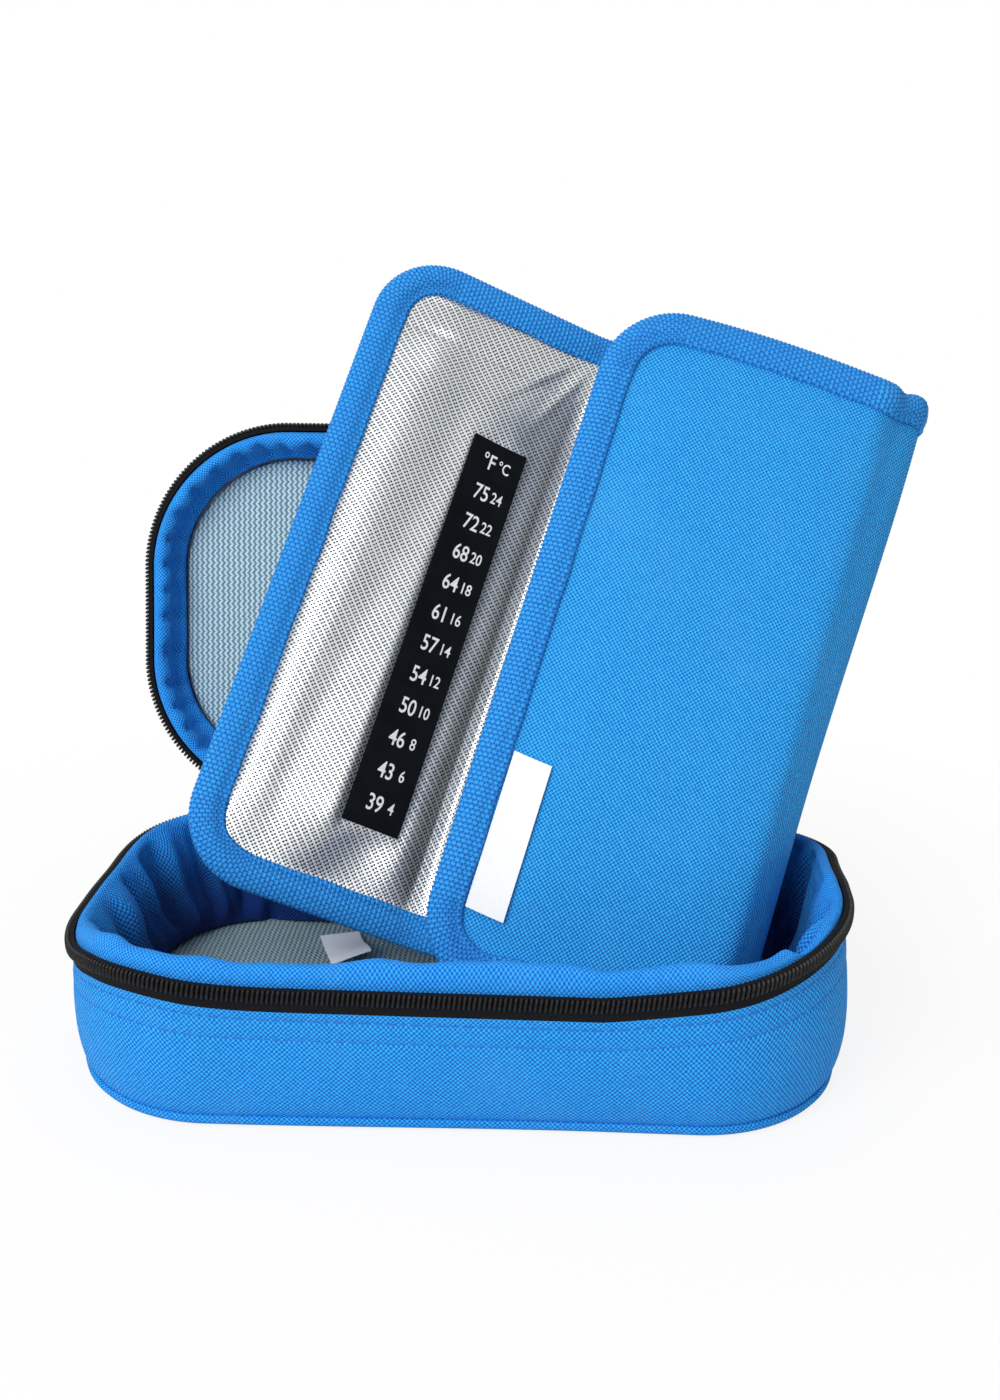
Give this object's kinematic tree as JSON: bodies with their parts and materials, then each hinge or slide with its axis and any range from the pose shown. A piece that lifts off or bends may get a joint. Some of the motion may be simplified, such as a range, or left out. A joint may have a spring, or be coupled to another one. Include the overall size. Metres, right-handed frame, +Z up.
{
  "type": "insulin cooling case",
  "caption": "Soft zipped insulin cooling case: padded tray with hinged lid, mesh floor and gathered lining, holding a foil-lined folding liner that carries a thermometer strip.",
  "frame": {"origin": "middle of the tray's underside, on the surface the case stands on", "axes": "+X along the case to the viewer's right, +Y from the front to the hinge side, +Z up"},
  "size_m": [0.2367, 0.1658, 0.2064],
  "materials": {
    "blue_cloth": "woven oxford cloth",
    "blue_lining": "soft lining cloth",
    "blue_tape": "ribbed binding tape",
    "white_foam": "closed-cell foam",
    "grey_mesh": "knitted spacer mesh",
    "zip_tape": "woven zip tape",
    "zip_coil": "nylon coil",
    "zip_metal": "black enamel",
    "silver_foil": "woven aluminised film",
    "black_film": "printed film",
    "white_label": "satin label"
  },
  "bodies": {
    "base": {"tray_floor_panel": "blue_cloth", "tray_side_panel": "blue_cloth", "tray_floor_foam": "white_foam", "tray_wall_foam": "white_foam", "tray_lining": "blue_lining", "tray_mesh_pad": "grey_mesh", "tray_zip_tape": "zip_tape", "tray_zip_coil": "zip_coil", "tray_hinge_strip": "blue_cloth", "hinge_fold": "blue_cloth", "left_slider": "zip_metal", "right_slider": "zip_metal", "care_tag": "white_label"},
    "lid": {"lid_floor_panel": "blue_cloth", "lid_side_panel": "blue_cloth", "lid_floor_foam": "white_foam", "lid_wall_foam": "white_foam", "lid_lining": "blue_lining", "lid_mesh_pad": "grey_mesh", "lid_zip_tape": "zip_tape", "lid_zip_coil": "zip_coil", "lid_hinge_strip": "blue_cloth"},
    "liner": {"liner_back_cloth": "blue_cloth", "liner_back_foam": "white_foam", "liner_back_foil": "silver_foil", "liner_back_foot_binding": "blue_tape", "liner_back_top_binding": "blue_tape", "flap_fold": "blue_cloth", "spine_cloth": "blue_cloth", "spine_foam": "white_foam", "spine_foil": "silver_foil", "spine_foot_binding": "blue_tape", "spine_top_binding": "blue_tape", "spine_fold": "blue_cloth", "cover_fold": "blue_cloth"},
    "inner_flap": {"inner_flap_cloth": "blue_cloth", "inner_flap_foam": "white_foam", "inner_flap_foil": "silver_foil", "inner_flap_binding": "blue_tape", "thermometer_strip": "black_film"},
    "front_cover": {"front_cover_cloth": "blue_cloth", "front_cover_foam": "white_foam", "front_cover_foil": "silver_foil", "front_cover_binding": "blue_tape", "front_cover_label": "white_label"},
    "left_pull": {"left_pull_tab": "zip_metal"},
    "right_pull": {"right_pull_tab": "zip_metal"}
  },
  "joints": [
    {"name": "lid_hinge", "type": "hinge", "parent": "base", "child": "lid", "pos_m": [0, 0.0596, 0.041], "axis": [-1, 0, 0], "range_deg": [0, 76]},
    {"name": "liner_lift", "type": "slide", "parent": "base", "child": "liner", "axis": [0, 0, 1], "range_m": [0, 0.2]},
    {"name": "inner_flap_hinge", "type": "hinge", "parent": "liner", "child": "inner_flap", "pos_m": [-0.0164, -0.00046, 0.02691], "axis": [0.276, 0.5373, 0.797], "range_deg": [-5, 44]},
    {"name": "front_cover_hinge", "type": "hinge", "parent": "liner", "child": "front_cover", "pos_m": [0.06589, -0.03331, 0.02056], "axis": [0.276, 0.5373, 0.797], "range_deg": [-6, 24]},
    {"name": "left_pull_hinge", "type": "hinge", "parent": "base", "child": "left_pull", "pos_m": [-0.08695, 0.05748, 0.04055], "axis": [0.866, 0.5, 0], "range_deg": [0, 50]},
    {"name": "right_pull_hinge", "type": "hinge", "parent": "base", "child": "right_pull", "pos_m": [0.08695, 0.05748, 0.04055], "axis": [0.866, -0.5, 0], "range_deg": [0, 50]}
  ]
}
